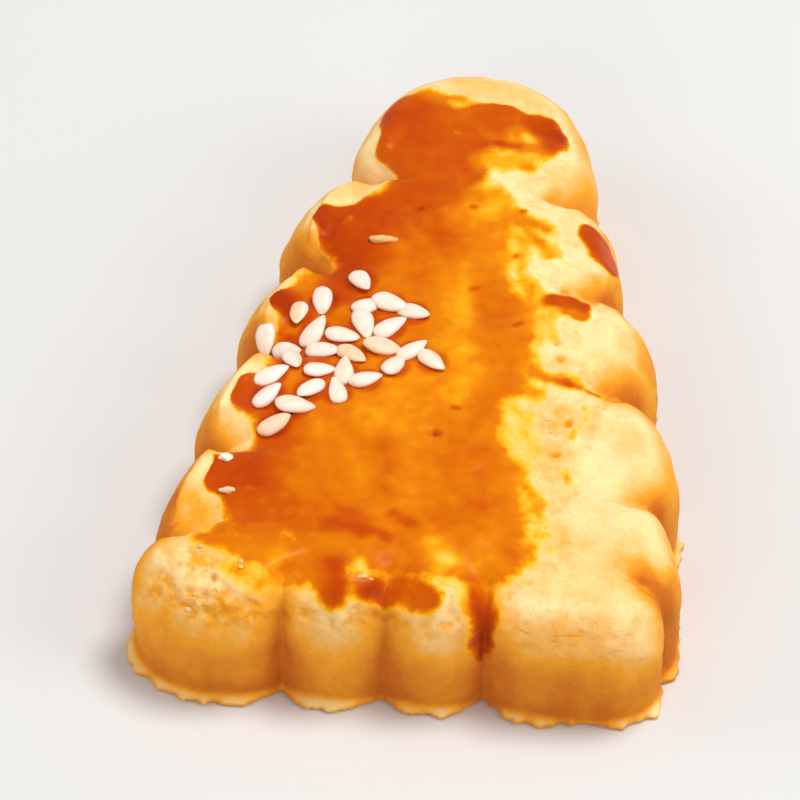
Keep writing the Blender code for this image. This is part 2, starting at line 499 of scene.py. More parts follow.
@dataclass(frozen=True)
class Stroke:
    """One stroke of the brush: where it starts and ends, its half width, tone and edge."""

    x0: float
    y0: float
    x1: float
    y1: float
    half_width: float
    tone: Tone
    feather: float = 1.5
    edge: Edge = Edge.EVEN
    lowest: float = 10.4
    taper: float = 0.45
    taper_height: float = 2.5

    def depth(self, places: np.ndarray) -> np.ndarray:
        """How far inside the stroke each place lies.

        Args:
            places: The places, one row of x, y and z each.

        Returns:
            The distance inside the stroke's edge, negative outside it.
        """
        start = np.array([self.x0, self.y0])
        run = np.array([self.x1 - self.x0, self.y1 - self.y0])
        away = places[:, :2] - start
        share = np.clip(away @ run / max(run @ run, 1e-9), 0.0, 1.0)
        inside = self.half_width - np.linalg.norm(away - share[:, None] * run, axis=1)
        inside -= self.taper * np.clip(self.lowest + self.taper_height - places[:, 2], 0.0, None)
        return np.minimum(inside, places[:, 2] - self.lowest)


@dataclass(frozen=True)
class EggWash:
    """The brushed egg wash: its strokes in the order they were laid."""

    strokes: tuple[Stroke, ...] = (
        Stroke(-3.2, 55.0, -1.6, 50.5, 3.8, Tone.ORANGE),
        Stroke(-2.2, 50.0, -1.4, 46.0, 5.0, Tone.ORANGE),
        Stroke(-3.8, 44.0, -3.6, 36.0, 6.9, Tone.ORANGE, 2.5),
        Stroke(1.0, 47.0, 2.2, 35.0, 4.5, Tone.GOLD, 3.0, Edge.SOFT),
        Stroke(-6.2, 34.0, -6.4, 28.0, 9.0, Tone.AMBER, 2.5),
        Stroke(2.6, 33.0, 3.0, 28.0, 6.4, Tone.AMBER, 2.0, Edge.SOFT),
        Stroke(-6.5, 24.0, -6.2, 14.0, 9.0, Tone.AMBER, 3.0),
        Stroke(0.2, 23.0, 1.2, 12.0, 6.0, Tone.GOLD, 3.0, Edge.SOFT),
        Stroke(4.6, 15.5, 5.4, 8.0, 5.3, Tone.AMBER, 2.0),
        Stroke(-7.0, 6.5, 6.5, 5.8, 4.0, Tone.AMBER, 2.0),
        Stroke(-13.6, 20.0, -13.0, 9.5, 2.1, Tone.ORANGE, 2.0),
        Stroke(-13.6, 9.0, -12.0, 7.2, 2.6, Tone.ORANGE, 2.0),
        Stroke(-15.2, 9.8, -14.8, 7.4, 1.9, Tone.ORANGE, 1.5),
        Stroke(-18.2, 5.2, -13.4, 4.6, 1.5, Tone.AMBER, 1.2),
        Stroke(-16.2, 6.3, -13.2, 6.0, 1.4, Tone.AMBER, 1.2),
        Stroke(-12.4, 3.8, -9.6, 1.4, 1.9, Tone.AMBER, 1.2),
        Stroke(-12.6, 5.4, -8.0, 3.0, 1.9, Tone.AMBER, 1.5),
        Stroke(-14.8, 1.6, -9.4, -0.8, 1.6, Tone.GOLD, 1.2, Edge.SOFT),
        Stroke(-14.6, 4.0, -10.4, 2.4, 1.6, Tone.GOLD, 1.4),
        Stroke(-7.6, 3.6, -6.1, 0.6, 2.3, Tone.AMBER, 1.5),
        Stroke(-3.4, 1.6, -1.4, 1.3, 1.9, Tone.AMBER, 1.2),
        Stroke(0.5, 1.4, 2.3, 0.7, 2.1, Tone.ORANGE, 1.2),
        Stroke(3.8, 3.9, 6.8, 3.6, 1.7, Tone.GOLD, 1.2, Edge.SOFT),
        Stroke(-4.9, 59.5, -4.7, 57.0, 4.2, Tone.ORANGE, 1.5, Edge.CRISP),
        Stroke(-4.6, 60.9, -4.0, 61.0, 2.6, Tone.ORANGE, 1.5, Edge.CRISP),
        Stroke(0.4, 59.9, 2.6, 60.3, 2.8, Tone.ORANGE, 1.5, Edge.CRISP),
        Stroke(2.6, 60.4, 5.6, 59.8, 2.0, Tone.ORANGE, 1.5, Edge.CRISP),
        Stroke(5.6, 59.8, 7.3, 58.6, 1.8, Tone.ORANGE, 1.5, Edge.CRISP),
        Stroke(0.5, 58.0, 4.2, 57.6, 1.5, Tone.ORANGE, 1.2, Edge.CRISP),
        Stroke(0.4, 57.0, 0.6, 53.4, 2.3, Tone.ORANGE, 1.5),
        Stroke(3.2, 57.0, 7.2, 57.0, 1.6, Tone.GOLD, 1.2, Edge.CRISP),
        Stroke(2.4, 54.6, 5.6, 54.7, 1.6, Tone.STRAW, 1.2),
        Stroke(-5.2, 63.5, -1.2, 62.7, 1.0, Tone.GOLD, 0.8),
        Stroke(5.9, 60.5, 7.6, 59.0, 1.2, Tone.RUSSET, 0.9, Edge.CRISP),
        Stroke(7.9, 59.2, 8.2, 58.6, 1.7, Tone.RUSSET, 0.9, Edge.CRISP),
        Stroke(8.0, 59.3, 8.6, 58.2, 0.5, Tone.BROWN, 0.9),
        Stroke(7.4, 55.4, 5.6, 54.2, 0.4, Tone.GOLD, 0.8),
        Stroke(1.2, 56.9, 2.8, 57.5, 0.3, Tone.RUSSET, 0.5),
        Stroke(2.8, 57.5, 4.8, 57.2, 0.3, Tone.RUSSET, 0.5),
        # This lighter golden stroke is part of the painted highlight on the knob.
        Stroke(4.6, 58.9, 5.7, 58.2, 1.0, Tone.GOLD, 0.9),
        Stroke(-7.8, 60.2, -7.2, 57.0, 0.9, Tone.RUSSET, 1.2, Edge.CRISP),
        Stroke(-5.8, 59.6, -4.4, 57.0, 1.5, Tone.RUSSET, 1.6),
        Stroke(-2.8, 53.4, -1.7, 49.6, 2.0, Tone.ORANGE, 1.5),
        Stroke(-4.8, 48.6, -8.0, 45.6, 1.9, Tone.RUSSET, 1.5),
        Stroke(-11.4, 45.7, -10.6, 43.4, 1.95, Tone.BROWN, 1.0, Edge.CRISP),
        Stroke(-11.4, 46.6, -8.8, 47.0, 0.9, Tone.RUSSET, 1.0, Edge.CRISP),
        Stroke(-9.6, 43.6, -8.0, 41.0, 2.4, Tone.RUSSET, 1.5),
        Stroke(-9.8, 40.0, -9.9, 36.5, 1.6, Tone.RUSSET, 1.2),
        Stroke(-3.4, 47.6, -0.8, 44.6, 2.2, Tone.ORANGE, 2.0),
        Stroke(3.4, 49.8, 4.6, 42.0, 1.8, Tone.GOLD, 1.5),
        Stroke(3.6, 49.0, 4.0, 47.0, 0.8, Tone.STRAW, 1.2),
        Stroke(5.4, 47.6, 8.8, 43.2, 1.3, Tone.GOLD, 1.2),
        Stroke(5.0, 47.2, 8.3, 46.6, 1.3, Tone.GOLD, 1.0),
        Stroke(8.1, 42.9, 9.1, 43.6, 0.5, Tone.STRAW, 0.6),
        Stroke(9.1, 43.6, 9.3, 45.4, 0.45, Tone.STRAW, 0.6),
        Stroke(1.3, 37.0, 2.2, 26.6, 1.3, Tone.STRAW, 2.2),
        Stroke(4.6, 38.5, 6.0, 30.0, 1.3, Tone.AMBER, 1.8),
        Stroke(7.0, 33.6, 7.4, 29.6, 1.2, Tone.AMBER, 1.6),
        Stroke(6.2, 44.5, 6.8, 39.5, 1.0, Tone.STRAW, 1.4),
        Stroke(7.6, 38.8, 8.4, 32.6, 1.5, Tone.GOLD, 1.6),
        Stroke(9.2, 36.4, 9.6, 31.4, 0.8, Tone.STRAW, 1.2),
        Stroke(7.6, 30.5, 7.4, 23.0, 1.9, Tone.AMBER, 1.6),
        Stroke(6.0, 22.6, 6.4, 19.4, 1.9, Tone.AMBER, 1.6),
        Stroke(9.4, 25.6, 8.6, 19.6, 1.1, Tone.GOLD, 1.4),
        Stroke(8.6, 17.6, 9.8, 13.6, 0.9, Tone.GOLD, 1.4),
        Stroke(10.6, 12.6, 10.9, 6.2, 1.2, Tone.GOLD, 1.4),
        Stroke(9.6, 6.2, 9.3, 4.2, 1.4, Tone.AMBER, 1.2),
        Stroke(5.4, 11.8, 6.4, 11.0, 0.5, Tone.ORANGE, 1.6),
        Stroke(-15.0, 34.2, -12.6, 33.2, 1.2, Tone.AMBER, 1.0),
        Stroke(-16.4, 34.9, -14.0, 34.6, 1.25, Tone.BROWN, 0.8, Edge.CRISP),
        Stroke(-16.0, 23.2, -14.0, 22.6, 1.1, Tone.ORANGE, 1.0),
        Stroke(-16.2, 21.9, -14.0, 21.4, 1.3, Tone.ORANGE, 1.0),
        Stroke(-17.0, 24.0, -16.6, 22.7, 1.5, Tone.RUSSET, 0.9, Edge.CRISP),
        Stroke(-15.6, 15.4, -14.8, 12.2, 1.75, Tone.RUSSET, 1.4),
        Stroke(-17.7, 13.8, -17.3, 11.8, 1.55, Tone.RUSSET, 0.9, Edge.CRISP),
        Stroke(10.0, 37.1, 12.8, 36.7, 0.9, Tone.RUSSET, 0.8, Edge.CRISP),
        Stroke(11.4, 37.6, 11.6, 36.4, 0.9, Tone.RUSSET, 0.8, Edge.CRISP),
        # The lighter lower band of this dark spot is a painted highlight.
        Stroke(11.0, 35.9, 12.6, 35.5, 0.9, Tone.AMBER, 0.7, Edge.CRISP),
        Stroke(9.9, 35.2, 10.4, 32.4, 0.9, Tone.STRAW, 0.8),
        Stroke(9.0, 28.0, 12.2, 27.2, 1.35, Tone.GOLD, 1.0),
        Stroke(12.0, 27.5, 14.8, 26.8, 0.75, Tone.RUSSET, 0.9),
        Stroke(12.8, 46.0, 14.0, 43.8, 1.9, Tone.RUSSET, 0.8, Edge.CRISP, 7.0),
        Stroke(-4.5, 25.0, -3.6, 16.0, 4.4, Tone.GOLD, 4.0),
        Stroke(0.6, 31.5, 0.4, 26.5, 1.4, Tone.GOLD, 2.0),
        Stroke(-3.0, 17.2, -2.6, 12.0, 1.0, Tone.ORANGE, 1.8),
        Stroke(2.0, 6.6, 3.2, 4.0, 0.9, Tone.STRAW, 1.5),
        Stroke(8.2, 22.5, 9.6, 18.6, 1.7, Tone.STRAW, 1.0, Edge.SOFT),
        Stroke(13.3, 21.6, 13.3, 20.9, 0.7, Tone.GOLD, 0.6),
        Stroke(12.7, 24.1, 12.8, 23.5, 0.45, Tone.STRAW, 0.5),
        Stroke(13.1, 16.6, 13.2, 15.6, 0.75, Tone.GOLD, 0.6),
        Stroke(14.0, 24.4, 14.3, 23.0, 0.75, Tone.STRAW, 0.8),
        Stroke(11.4, 9.4, 12.6, 6.8, 0.9, Tone.GOLD, 1.0, Edge.SOFT),
        Stroke(-13.3, -2.2, -12.5, -2.9, 0.75, Tone.GOLD, 0.6),
        Stroke(-6.6, 9.7, -3.8, 8.7, 0.4, Tone.ORANGE, 0.9),
        Stroke(-1.8, 9.5, 0.2, 8.5, 0.35, Tone.RUSSET, 0.7),
        Stroke(-7.1, 7.9, -4.2, 7.2, 0.7, Tone.RUSSET, 0.9),
        Stroke(-4.0, 7.4, -1.6, 6.8, 0.3, Tone.RUSSET, 0.6),
        Stroke(-6.2, 3.2, -6.0, -0.4, 1.0, Tone.RUSSET, 1.0),
        Stroke(-2.7, 1.4, -1.2, 0.5, 0.9, Tone.BROWN, 0.9),
        Stroke(0.6, -0.5, 2.0, -0.9, 0.8, Tone.BROWN, 0.8),
        Stroke(7.2, 5.4, 7.4, -0.4, 1.8, Tone.GOLD, 1.2, Edge.EVEN, 8.5),
        Stroke(6.2, 2.0, 6.6, -0.6, 1.3, Tone.ORANGE, 1.0, Edge.EVEN, 8.0),
        Stroke(7.3, 0.4, 7.5, -2.6, 1.8, Tone.GOLD, 1.2, Edge.EVEN, 5.8),
        Stroke(7.1, 0.6, 7.5, -2.8, 1.2, Tone.BROWN, 1.1, Edge.EVEN, 4.8),
        # The palest strokes paint highlights: three on the front of the top and one on the knob.
        Stroke(-3.8, 3.5, -3.3, 2.5, 0.4, Tone.PAINTED_HIGHLIGHT, 0.8),
        Stroke(2.9, 5.2, 3.6, 4.6, 0.3, Tone.PAINTED_HIGHLIGHT, 0.7),
        Stroke(4.2, 2.4, 4.8, 1.4, 0.35, Tone.PAINTED_HIGHLIGHT, 0.7),
        Stroke(5.2, 58.7, 5.6, 58.4, 0.45, Tone.PAINTED_HIGHLIGHT, 0.6),
        Stroke(-3.3, 47.4, -3.2, 47.3, 0.25, Tone.BROWN, 0.3),
        Stroke(1.6, 48.2, 1.8, 48.1, 0.25, Tone.RUSSET, 0.3),
        Stroke(6.0, 48.3, 6.1, 48.2, 0.25, Tone.BROWN, 0.3),
        Stroke(5.9, 42.2, 6.0, 42.3, 0.2, Tone.RUSSET, 0.3),
        Stroke(2.5, 38.0, 2.8, 38.0, 0.25, Tone.RUSSET, 0.4),
        Stroke(0.8, 19.3, 1.1, 19.1, 0.3, Tone.RUSSET, 0.4),
        Stroke(2.1, 22.4, 2.5, 22.3, 0.2, Tone.RUSSET, 0.4),
        Stroke(7.2, 33.5, 7.4, 33.7, 0.25, Tone.RUSSET, 0.4),
    )
    far_from_wash: float = -9.0
    joining: float = 1.0
    edge_reach: tuple[float, float] = (-1.2, 0.3)
    wander: tuple[Swell, ...] = (Swell(3.4, 0.5), Swell(1.5, 0.2))
    wander_draws: tuple[float, float] = (11.3, 23.9)

    def wandered(self, places: np.ndarray) -> np.ndarray:
        """The places as the brush met them, moved about a little.

        Args:
            places: The places, one row of x, y and z each.

        Returns:
            The moved places.
        """
        moved = places.copy()
        for axis, drawn in enumerate(self.wander_draws):
            for swell in self.wander:
                moved[:, axis] += swell.height * grain(places, swell.wave, drawn)
        return moved

    def reach(self, places: np.ndarray) -> np.ndarray:
        """How far inside the wash each place lies.

        Args:
            places: The places, one row of x, y and z each.

        Returns:
            The distance inside the wash's wandering edge, negative on bare dough.
        """
        covered = np.full(len(places), self.far_from_wash)
        for stroke in self.strokes:
            depth = stroke.depth(places)
            blend = np.clip(0.5 + 0.5 * (depth - covered) / self.joining, 0.0, 1.0)
            joined = covered + (depth - covered) * blend
            covered = joined + self.joining * blend * (1.0 - blend)
        return covered

    def tone(self, places: np.ndarray) -> np.ndarray:
        """How dark the wash has baked at each place, with painted highlights where the palest
        strokes lie.

        Args:
            places: The places, one row of x, y and z each.

        Returns:
            The tone, from 0 to 1.
        """
        tone = np.full(len(places), Tone.AMBER.value)
        for stroke in self.strokes:
            over = smooth_step(-stroke.feather, stroke.feather, stroke.depth(places))
            tone = tone + (stroke.tone.value - tone) * over
        return tone

    def softness(self, places: np.ndarray) -> np.ndarray:
        """How far the wash thins out at its edge near each place.

        Args:
            places: The places, one row of x, y and z each.

        Returns:
            The distance over which it thins out.
        """
        soft = np.full(len(places), Edge.EVEN.value)
        for stroke in self.strokes:
            over = smooth_step(*self.edge_reach, stroke.depth(places))
            soft = soft + (stroke.edge.value - soft) * over
        return soft


# ---------------------------------------------------------------- finishes


@dataclass
class NodeSheet:
    """A material's node tree, with short ways to add nodes and join them."""

    material: bpy.types.Material

    @classmethod
    def new(cls, name: str) -> "NodeSheet":
        """Starts a material.

        Args:
            name: The material's name.

        Returns:
            The sheet of its nodes, with the Principled shader in place.
        """
        material = bpy.data.materials.new(name)
        material.use_nodes = True
        return cls(material)

    @property
    def shader(self) -> bpy.types.Node:
        """The material's Principled shader."""
        return self.material.node_tree.nodes["Principled BSDF"]

    def add(self, kind: str, inputs: dict | None = None, **settings: object) -> bpy.types.Node:
        """Adds a node.

        Args:
            kind: The node's type.
            inputs: Values, or sockets to join, by the input's name or number.
            settings: The node's own settings.

        Returns:
            The node.
        """
        node = self.material.node_tree.nodes.new(kind)
        for key, value in settings.items():
            setattr(node, key, value)
        for key, value in (inputs or {}).items():
            self.put(node.inputs[key], value)
        return node

    def put(self, socket: bpy.types.NodeSocket, value: object) -> None:
        """Joins a socket to another, or sets its value.

        Args:
            socket: The input socket.
            value: An output socket, or the value.
        """
        if isinstance(value, bpy.types.NodeSocket):
            self.material.node_tree.links.new(value, socket)
        else:
            socket.default_value = value

    def set(self, **values: object) -> None:
        """Sets the shader's inputs, with underscores for the spaces in their names."""
        for name, value in values.items():
            self.put(self.shader.inputs[name.replace("_", " ")], value)

    def place(self) -> bpy.types.NodeSocket:
        """The place on the piece, in metres."""
        return self.add("ShaderNodeTexCoord").outputs["Object"]

    def stretched(self, scale: tuple[float, float, float]) -> bpy.types.NodeSocket:
        """The place on the piece, stretched along the axes."""
        inputs = {"Vector": self.place(), "Scale": scale}
        return self.add("ShaderNodeMapping", inputs).outputs["Vector"]

    def attribute(self, name: str) -> bpy.types.NodeSocket:
        """The number that a piece's vertices hold under a name."""
        return self.add("ShaderNodeAttribute", attribute_name=name).outputs["Fac"]

    def noise(self, wave: float, detail: float = 2.0, rough: float = 0.5,
              place: bpy.types.NodeSocket | None = None) -> bpy.types.NodeSocket:
        """Noise of a wavelength.

        Args:
            wave: The wavelength in millimetres.
            detail: How many finer octaves it holds.
            rough: How strong the finer octaves are.
            place: The place it is read at, if not the piece's own.

        Returns:
            The noise, from 0 to 1.
        """
        inputs = {
            "Vector": place or self.place(),
            "Scale": 1.0 / (wave * MM),
            "Detail": detail,
            "Roughness": rough,
        }
        return self.add("ShaderNodeTexNoise", inputs).outputs["Fac"]

    def math(self, operation: str, first: object, second: object = 0.0,
             clamp: bool = False) -> bpy.types.NodeSocket:
        """Works out one number from two.

        Args:
            operation: What is done with them, by the Math node's own names.
            first: The first number.
            second: The second number.
            clamp: Whether the answer is kept from 0 to 1.

        Returns:
            The answer.
        """
        node = self.add("ShaderNodeMath", {0: first, 1: second}, operation=operation)
        node.use_clamp = clamp
        return node.outputs[0]

    def eased(self, value: object, low: float, high: float, to_low: float = 0.0,
              to_high: float = 1.0) -> bpy.types.NodeSocket:
        """A number eased from one range to another.

        Args:
            value: The number.
            low: Where the first range starts.
            high: Where the first range ends.
            to_low: What low becomes.
            to_high: What high becomes.

        Returns:
            The eased number.
        """
        inputs = {
            "Value": value,
            "From Min": low,
            "From Max": high,
            "To Min": to_low,
            "To Max": to_high,
        }
        node = self.add("ShaderNodeMapRange", inputs, interpolation_type="SMOOTHSTEP")
        return node.outputs["Result"]

    def swing(self, value: bpy.types.NodeSocket, reach: float, low: float = 0.2,
              high: float = 0.8) -> bpy.types.NodeSocket:
        """Noise made to swing to both sides of zero.

        Args:
            value: The noise.
            reach: How far it swings either way.
            low: The noise that swings fully down.
            high: The noise that swings fully up.

        Returns:
            The swinging number.
        """
        return self.eased(value, low, high, -reach, reach)

    def ramp(self, value: bpy.types.NodeSocket,
             stops: tuple[tuple[float, tuple[float, float, float]], ...]) -> bpy.types.NodeSocket:
        """A colour ramp.

        Args:
            value: The number that picks the colour.
            stops: Each stop's place and colour.

        Returns:
            The colour.
        """
        node = self.add("ShaderNodeValToRGB", {"Fac": value})
        points = node.color_ramp.elements
        while len(points) < len(stops):
            points.new(1.0)
        for point, (place, colour) in zip(points, stops):
            point.position = place
            point.color = (*colour, 1.0)
        return node.outputs["Color"]

    def mix(self, share: object, first: object, second: object,
            blend: str = "MIX") -> bpy.types.NodeSocket:
        """A colour between two others.

        Args:
            share: The share of the second colour.
            first: The first colour.
            second: The second colour.
            blend: How the second is laid over the first.

        Returns:
            The colour.
        """
        node = self.add("ShaderNodeMix", data_type="RGBA", blend_type=blend)
        self.put(node.inputs["Factor"], share)
        self.put(node.inputs["A"], (*first, 1.0) if isinstance(first, tuple) else first)
        self.put(node.inputs["B"], (*second, 1.0) if isinstance(second, tuple) else second)
        return node.outputs["Result"]

    def bump(self, height: bpy.types.NodeSocket, depth: float, strength: object = 1.0,
             under: bpy.types.NodeSocket | None = None) -> bpy.types.NodeSocket:
        """Fine relief.

        Args:
            height: The height as a share of the depth.
            depth: The depth in millimetres.
            strength: How strongly it shows.
            under: The relief that it lies on.

        Returns:
            The normal.
        """
        node = self.add("ShaderNodeBump", {"Height": height, "Distance": depth * MM})
        self.put(node.inputs["Strength"], strength)
        if under is not None:
            self.put(node.inputs["Normal"], under)
        return node.outputs["Normal"]


@dataclass(frozen=True)
class BakedDough:
    """The finish of the dough and of the egg wash baked onto it."""

    pale: tuple[float, float, float] = (0.97, 0.73, 0.35)
    golden: tuple[float, float, float] = (0.94, 0.39, 0.03)
    toasted: tuple[float, float, float] = (0.64, 0.17, 0.018)
    wash: tuple[tuple[float, tuple[float, float, float]], ...] = (
        # The palest stop colours both the wash's thinnest edge and the painted highlights, pinkish.
        (0.00, (0.97, 0.66, 0.28)),
        (0.15, (0.97, 0.55, 0.06)),
        (0.30, (0.95, 0.37, 0.004)),
        (0.42, (0.75, 0.212, 0.002)),
        (0.53, (0.68, 0.155, 0.001)),
        (0.65, (0.58, 0.09, 0.001)),
        (0.80, (0.52, 0.057, 0.001)),
        (0.97, (0.38, 0.032, 0.001)),
    )
    dry_roughness: float = 0.62
    glazed_roughness: float = 0.3
    matt: float = 0.05
    gloss: float = 0.14
    gloss_tint: tuple[float, float, float] = (1.0, 0.62, 0.32)
    subsurface: float = 0.12
    subsurface_depth: float = 1.4
    subsurface_reach: tuple[float, float, float] = (1.0, 0.45, 0.15)

    def dress(self, piece: bpy.types.Object) -> None:
        """Puts the finish on the dough.

        Args:
            piece: The dough, which holds the attributes that build paints.
        """
        sheet = NodeSheet.new("baked_dough_finish")
        fine = sheet.noise(0.45, 3.0, 0.6)
        middle = sheet.noise(1.5, 2.0)
        broad = sheet.noise(5.0, 2.0)
        coarse = sheet.attribute("coarse")

        # The wash: its ragged edge, and then its colour, which is darker where it lies thicker; its
        # tone also holds painted shadow round the seeds and painted highlights.
        soft = sheet.attribute("softness")
        wander = sheet.math("ADD", sheet.swing(middle, 0.2), sheet.swing(fine, 0.1))
        edge = sheet.math("ADD", sheet.attribute("wash"), sheet.math("MULTIPLY", wander, soft))
        cover = sheet.eased(sheet.math("DIVIDE", edge, soft), -0.15, 1.0)
        tone = sheet.math("ADD", sheet.attribute("tone"), sheet.swing(broad, 0.06))
        tone = sheet.math("ADD", tone, sheet.swing(middle, 0.03))
        film = sheet.ramp(sheet.math("MULTIPLY", tone, cover, clamp=True), self.wash)

        # The bare dough: mottled by its baking, with painted shade and highlight laid in, and by its
        # crumb, its specks and its grain.
        baked = sheet.math("ADD", sheet.attribute("bake_and_shade"), sheet.swing(broad, 0.05))
        mottle = sheet.swing(sheet.noise(1.1, 2.0), 0.12, 0.35, 0.65)
        baked = sheet.math("ADD", baked, sheet.math("MULTIPLY", coarse, mottle))
        specks = sheet.noise(2.0, 3.0, 0.6, sheet.stretched((1.0, 1.0, 0.6)))
        baked = sheet.math("ADD", baked, sheet.swing(specks, 0.07, 0.25, 0.75))
        baked = sheet.math("ADD", baked, sheet.swing(fine, 0.04), clamp=True)
        bare = sheet.ramp(baked, ((0.0, self.pale), (0.5, self.golden), (1.0, self.toasted)))
        # Pores and hairline cracks are mixed toward golden: painted shade in these small hollows.
        pit = sheet.eased(sheet.noise(0.8, 1.5, 0.5), 0.3, 0.42, 1.0, 0.0)
        pit = sheet.math("MULTIPLY", pit, coarse)
        bare = sheet.mix(sheet.math("MULTIPLY", pit, 0.45), bare, self.golden)
        cracks = sheet.noise(2.2, 2.0, 0.5, sheet.stretched((1.0, 1.0, 4.0)))
        cracks = sheet.math("MULTIPLY", sheet.eased(cracks, 0.6, 0.7), sheet.attribute("cracked"))
        bare = sheet.mix(sheet.math("MULTIPLY", cracks, 0.5), bare, self.golden)
        colour = sheet.mix(sheet.eased(cover, 0.0, 0.35), bare, film, "DARKEN")

        # The relief: grain that the wash smooths, with pits and hairline cracks over it.
        grained = sheet.math("ADD", 0.3, sheet.math("MULTIPLY", coarse, 0.4))
        grained = sheet.math("MULTIPLY", grained, sheet.eased(cover, 0.2, 0.9, 1.0, 0.4))
        grainy = sheet.bump(fine, 0.12, grained)
        sunk = sheet.math("ADD", pit, cracks, clamp=True)
        pitted = sheet.bump(sheet.math("SUBTRACT", 1.0, sunk), 0.2, 0.6, grainy)

        sheet.set(
            Base_Color=colour,
            Roughness=sheet.eased(cover, 0.2, 0.9, self.dry_roughness, self.glazed_roughness),
            Normal=pitted,
            Specular_IOR_Level=sheet.eased(cover, 0.2, 0.9, self.matt, self.gloss),
            Specular_Tint=(*self.gloss_tint, 1.0),
            Subsurface_Weight=self.subsurface,
            Subsurface_Scale=self.subsurface_depth * MM,
            Subsurface_Radius=self.subsurface_reach,
        )
        piece.data.materials.append(sheet.material)


@dataclass(frozen=True)
class HulledSesame:
    """The finish of the hulled sesame seeds."""

    ivory: tuple[float, float, float] = (0.96, 0.80, 0.70)
    toasted: tuple[float, float, float] = (0.92, 0.60, 0.36)

    def dress(self, piece: bpy.types.Object) -> None:
        """Puts the finish on the seeds.

        Args:
            piece: The seeds, which hold the attributes toast and tip.
        """
        sheet = NodeSheet.new("hulled_sesame_finish")
        mottle = sheet.swing(sheet.noise(0.7), 0.15, 0.3, 0.7)
        toast = sheet.math("ADD", sheet.attribute("toast"), mottle)
        toast = sheet.math("ADD", toast, sheet.attribute("tip"), clamp=True)
        colour = sheet.mix(toast, self.ivory, self.toasted)
        ridges = sheet.noise(0.25, 2.0)
        sheet.set(
            Base_Color=colour,
            Roughness=0.42,
            Normal=sheet.bump(ridges, 0.05, 0.4),
            Specular_IOR_Level=0.4,
            Subsurface_Weight=0.2,
            Subsurface_Scale=0.8 * MM,
            Subsurface_Radius=(1.0, 0.6, 0.35),
        )
        piece.data.materials.append(sheet.material)


@dataclass(frozen=True)
class LooseCrumb:
    """The finish of the crumbs."""

    pale: tuple[float, float, float] = (0.97, 0.84, 0.66)
    golden: tuple[float, float, float] = (0.88, 0.45, 0.14)

    def dress(self, piece: bpy.types.Object) -> None:
        """Puts the finish on the crumbs.

        Args:
            piece: The crumbs, which hold the attribute browned.
        """
        sheet = NodeSheet.new("loose_crumb_finish")
        mottle = sheet.swing(sheet.noise(0.4, 3.0), 0.15, 0.35, 0.65)
        browned = sheet.math("ADD", sheet.attribute("browned"), mottle, clamp=True)
        sheet.set(
            Base_Color=sheet.mix(browned, self.pale, self.golden),
            Roughness=0.7,
            Normal=sheet.bump(sheet.noise(0.12, 3.0), 0.06, 0.6),
            Specular_IOR_Level=0.3,
        )
        piece.data.materials.append(sheet.material)


@dataclass(frozen=True)
class PaleFloor:
    """The finish of the floor that the cookie is shown on."""

    colour: tuple[float, float, float] = (0.74, 0.74, 0.73)
    shaded: float = 0.97

    def dress(self, piece: bpy.types.Object) -> None:
        """Puts the finish on the floor.

        Args:
            piece: The floor.
        """
        sheet = NodeSheet.new("pale_floor_finish")
        shade = tuple(self.shaded * part for part in self.colour)
        colour = sheet.mix(sheet.noise(60.0, 2.0), self.colour, shade)
        sheet.set(Base_Color=colour, Roughness=0.8, Specular_IOR_Level=0.2)
        piece.data.materials.append(sheet.material)


# ---------------------------------------------------------------- the pieces


@dataclass(frozen=True)
class Pit:
    """One burst bubble in the dough's skin."""

    x: float
    y: float
    radius: float


@dataclass(frozen=True)
class BrowningAndLightSpot:
    """A place where the bare dough is darker than round it, or paler with browning below zero: some
    spots are browning, and some are painted light and shade.
    """

    x: float
    y: float
    reach: float
    browning: float


@dataclass(frozen=True)
class BrowningAndPaintedLight:
    """How much each part of the bare dough darkens: mostly browning, with painted shade on the left
    side, the right front and the pits, browning and painted shade in the grooves and on the flanks,
    and a painted highlight on the crests. Those below zero stay paler.
    """

    least: float = 0.05
    side: float = 0.42
    foot: float = 0.3
    torn_edge: float = -0.3
    # Browning and painted shade in the grooves and on the flanks.
    groove: float = 0.5
    flank: float = 0.2
    # Painted shade on the slopes that face left.
    shaded_left_side: float = 0.07
    # Painted shade on the right front side.
    right_front: float = 0.1
    tip_end: float = 0.2
    # A painted highlight along the crests of the rims.
    crest_highlight: float = -0.22
    mottling: float = 0.12
    crumb: float = 0.1
    crumb_relief: float = -0.6
    # Painted shade in the burst bubbles.
    pit: float = 0.35


